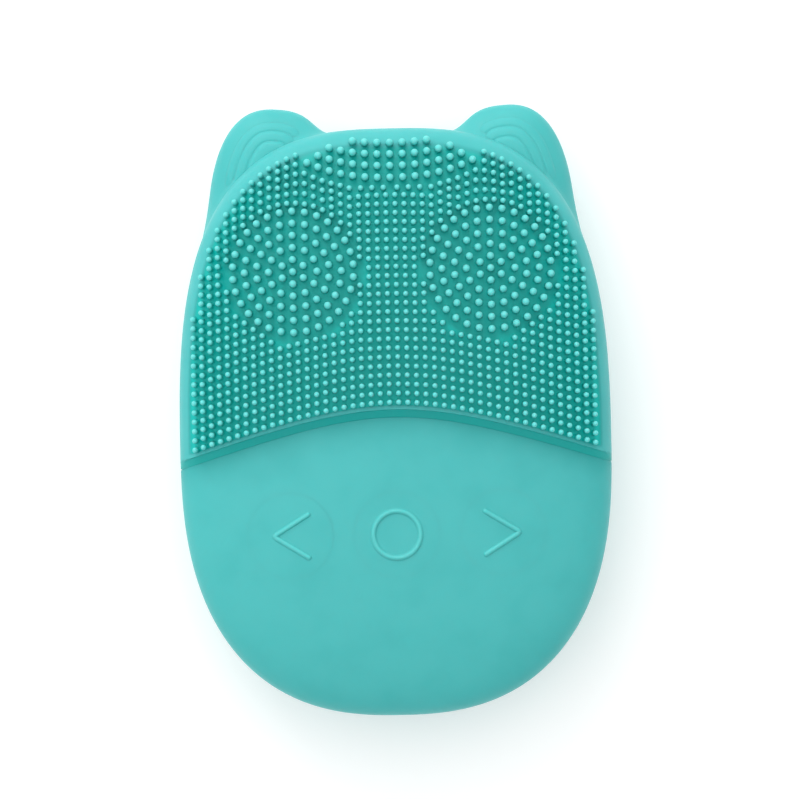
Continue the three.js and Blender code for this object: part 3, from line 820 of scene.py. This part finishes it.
def gradient(field, points, step=0.02):
    parts = []
    for axis in range(3):
        shift = np.zeros(3)
        shift[axis] = step
        above, below = field(*(points + shift).T), field(*(points - shift).T)
        parts.append((above - below) / (2 * step))
    return np.stack(parts, 1)


def settle(field, points, rounds=4, most=0.15):
    """Moves the points on to the surface, along its gradient."""
    for _ in range(rounds):
        slope = gradient(field, points)
        size = np.maximum((slope**2).sum(1), 1e-3)
        move = slope * (field(*points.T) / size)[:, None]
        length = np.linalg.norm(move, axis=1, keepdims=True)
        points = points - move * np.minimum(1, most / np.maximum(length, 1e-9))
    return points


def solid_form(share, height, crown, wall):
    """Below 0 inside the body: share and the height used up combine as in a superellipse."""
    used = np.maximum(height - crown * (1 - np.minimum(share, 1) ** 2), 0) / wall
    return ((share**SHOULDER + used**SHOULDER) ** (1 / SHOULDER) - 1) * BODY_SCALE


def body_form(x, y, z, inset=0.0):
    share = share_of(x, y, inset)
    back = solid_form(share, EQUATOR - z, BACK_CROWN, BACK_WALL - inset)
    front = solid_form(share, z - EQUATOR, CROWN, WALL + STEP - inset)
    return np.maximum(np.where(z < EQUATOR, back, front), inset - z)


def ear_axes(side, x, y):
    dx, dy = x - side * EAR_X, y - EAR_Y
    c, s = math.cos(EAR_LEAN), side * math.sin(EAR_LEAN)
    return dx * c + dy * s, dy * c - dx * s


def ear_share(side, x, y):
    u, v = ear_axes(side, x, y)
    return ((np.abs(u) / EAR_HALF_WIDTH) ** EAR_POWER
            + (np.abs(v) / EAR_HALF_LENGTH) ** EAR_POWER) ** (1 / EAR_POWER)


def ear_form(side, x, y, z):
    height = z - EAR_Z
    used = np.where(height > 0, height / EAR_FRONT, -height / EAR_BACK)
    share = ear_share(side, x, y)
    return ((share**EAR_SECTION + used**EAR_SECTION) ** (1 / EAR_SECTION) - 1) * EAR_SCALE


def rear_cover_form(x, y, z):
    """The back's shell below the parting, joined to ears that reach up behind the front cover."""
    body = body_form(x, y, z)
    ears = np.minimum(ear_form(-1, x, y, z), ear_form(1, x, y, z))
    form = soft_min(body, ears, EAR_FILLET)
    in_front = np.maximum(ears - EAR_FILLET * 0.9, -OVERLAP - body)
    form = np.maximum(form, np.where(z > EQUATOR - PARTING, in_front, -1))
    form = np.maximum(form, -body_form(x, y, z, SKIN))
    for node in ("charge_contact_left", "charge_contact_right"):
        low, high = box_mm(node)
        cx, cy = (low[:2] + high[:2]) / 2
        hole = (high[0] - low[0]) / 2 + CONTACT_CLEARANCE
        outside = hole - np.hypot(x - cx, y - cy)
        form = np.maximum(form, np.where(z < CONTACT_HOLE_TOP, outside, -1))
    return form


def rear_cover():
    margin = 0.7
    low = REAR_LOW - margin
    high = REAR_HIGH + margin
    points, faces = surface_net(rear_cover_form, low, high, NET_STEP)
    points = settle(rear_cover_form, points)
    shell = mesh_piece("rear_cover_skin", points, faces, SILICONE, sharp=50)
    finish_piece(shell, "root", "rear_cover")


def terrace_lift(inset):
    """Each terrace starts in a fine groove and rounds over on to its own level."""
    lift = TERRACE_START
    for start in TERRACES:
        past = max(inset - start, 0)
        lift += TERRACE_RISE * (1 - math.exp(-past / TERRACE_ROUND))
        lift -= GROOVE_DEPTH * math.exp(-(((inset - start) / GROOVE_WIDTH) ** 2))
    return lift


def ear_terraces(side):
    """The raised arches on the front of one ear, which run on under the front cover's rim."""
    rays, rings = 480, 150
    angles = np.linspace(0, 2 * math.pi, rays, endpoint=False)
    c, s = math.cos(EAR_LEAN), side * math.sin(EAR_LEAN)

    def ring(inset, lift):
        across = (np.abs(np.cos(angles)) / (EAR_HALF_WIDTH - inset)) ** EAR_POWER
        along = (np.abs(np.sin(angles)) / (EAR_HALF_LENGTH - inset)) ** EAR_POWER
        radius = (across + along) ** (-1 / EAR_POWER)
        u, v = radius * np.cos(angles), radius * np.sin(angles)
        x, y = side * EAR_X + u * c - v * s, EAR_Y + u * s + v * c
        swell = (1 - ear_share(side, x, y) ** EAR_SECTION) ** (1 / EAR_SECTION)
        return np.stack([x, y, EAR_Z + EAR_FRONT * swell + lift], 1)

    innermost = EAR_HALF_WIDTH - 0.6
    insets = np.linspace(innermost, TERRACES[0], rings)
    points = [ring(inset, terrace_lift(inset)) for inset in insets]
    points += [ring(inset, TERRACE_FOOT) for inset in (TERRACES[0], 5.0, innermost)]
    middle = [side * EAR_X, EAR_Y]
    total = len(points) * rays
    points.append([[*middle, points[0][0, 2]], [*middle, points[-1][0, 2]]])
    faces = [f[::-1] for f in rings_to_faces(rays, total // rays, total, total + 1)]
    name = "ear_terraces_left" if side < 0 else "ear_terraces_right"
    piece = mesh_piece(name, np.concatenate(points), faces, SILICONE)
    finish_piece(piece, "root", "rear_cover")


# ------------------------------------------------------------------ setting
def add_setting():
    """A white floor just below the back, and the light."""
    floor_half = 1.5
    signs = ((-1, -1), (1, -1), (1, 1), (-1, 1))
    corners = [(x * floor_half, y * floor_half, 0) for x, y in signs]
    mesh = bpy.data.meshes.new("floor")
    mesh.from_pydata(corners, [], [(0, 1, 2, 3)])
    material, _, _, shader = new_material("floor")
    shader.inputs["Base Color"].default_value = (0.85, 0.85, 0.85, 1)
    shader.inputs["Roughness"].default_value = 0.9
    shader.inputs["Emission Color"].default_value = (1, 1, 1, 1)
    shader.inputs["Emission Strength"].default_value = FLOOR_GLOW
    floor = add_object("floor", mesh, material)
    floor.location.z = -0.0002
    add_world()
    add_key_light()


WORLD_LEAN = (-0.3, 0.46, 0.0)  # the studio's walls are brighter towards this side
HORIZON = 0.22  # its strength there and straight overhead
OVERHEAD = 1.4
SKYLINE = 0.5  # and how much brighter it is up to the first of two heights, fading at the second
SKYLINE_BAND = (0.08, 0.13)
FLOOR_GLOW = 0.24


def add_world():
    """A white studio, softly brighter beyond the ears and to the left."""
    world = bpy.data.worlds.new("studio")
    bpy.context.scene.world = world
    world.use_nodes = True
    nodes = world.node_tree.nodes
    links = world.node_tree.links
    coordinates = nodes.new("ShaderNodeTexCoord")
    split = nodes.new("ShaderNodeSeparateXYZ")
    overhead = nodes.new("ShaderNodeMapRange")
    overhead.inputs["To Min"].default_value = HORIZON
    overhead.inputs["To Max"].default_value = OVERHEAD
    skyline = nodes.new("ShaderNodeMapRange")
    skyline.inputs["From Min"].default_value = SKYLINE_BAND[0]
    skyline.inputs["From Max"].default_value = SKYLINE_BAND[1]
    skyline.inputs["To Min"].default_value = SKYLINE
    skyline.inputs["To Max"].default_value = 0
    level = nodes.new("ShaderNodeMath")
    level.operation = "ADD"
    towards = nodes.new("ShaderNodeVectorMath")
    towards.operation = "DOT_PRODUCT"
    towards.inputs[1].default_value = WORLD_LEAN
    strength = nodes.new("ShaderNodeMath")
    strength.operation = "MULTIPLY_ADD"
    background = nodes["Background"]
    background.inputs["Color"].default_value = (1, 1, 1, 1)
    links.new(coordinates.outputs["Generated"], split.inputs["Vector"])
    links.new(coordinates.outputs["Generated"], towards.inputs[0])
    links.new(split.outputs["Z"], overhead.inputs["Value"])
    links.new(split.outputs["Z"], skyline.inputs["Value"])
    links.new(overhead.outputs["Result"], level.inputs[0])
    links.new(skyline.outputs["Result"], level.inputs[1])
    links.new(towards.outputs["Value"], strength.inputs[0])
    links.new(level.outputs["Value"], strength.inputs[1])
    links.new(level.outputs["Value"], strength.inputs[2])
    links.new(strength.outputs["Value"], background.inputs["Strength"])


def add_key_light():
    """A soft box beyond the ears, a little to the left."""
    data = bpy.data.lights.new("key_light", "AREA")
    data.shape = "SQUARE"
    data.size = 0.5
    data.energy = 1.8
    lamp = bpy.data.objects.new("key_light", data)
    lamp.location = (-0.18, 0.6, 0.42)
    aim = -lamp.location
    lamp.rotation_euler = aim.to_track_quat("-Z", "Y").to_euler()
    bpy.context.scene.collection.objects.link(lamp)


VIEW_WIDTH = 0.1248  # what the picture spans at the height of the parting line
VIEW_DISTANCE = 0.6
VIEW_YAW = math.radians(0.45)
VIEW_ROLL = math.radians(1.15)
VIEW_TARGET = (0.00078, 0.00156)


def add_camera():
    """Looks straight down at the brush, a touch from its right and turned a touch clockwise."""
    data = bpy.data.cameras.new("camera")
    data.sensor_width = 36
    data.lens = data.sensor_width * VIEW_DISTANCE / VIEW_WIDTH
    camera = bpy.data.objects.new("camera", data)
    bpy.context.scene.collection.objects.link(camera)
    bpy.context.scene.camera = camera
    turn = Euler((0, VIEW_YAW, -VIEW_ROLL))
    back = turn.to_matrix() @ Vector((0, 0, VIEW_DISTANCE))
    camera.location = Vector((*VIEW_TARGET, EQUATOR * MM)) + back
    camera.rotation_euler = turn


def set_colours():
    settings = bpy.context.scene.view_settings
    settings.view_transform = "Standard"
    settings.look = "None"


# ------------------------------------------------------------------ the whole scene
add_camera()
add_setting()
set_colours()
dress_cad_nodes()
bristle_cover()
control_cover()
rear_cover()
for key_node in KEYS:
    key_skin(key_node)
ear_terraces(-1)
ear_terraces(1)
bristles("fine_bristles", fine_tips(), FINE_RADIUS, 12)
bristles("eye_bristles", eye_tips(), THICK_RADIUS, 16)
bristles("forelock_bristles", forelock_tips(), THICK_RADIUS, 16)
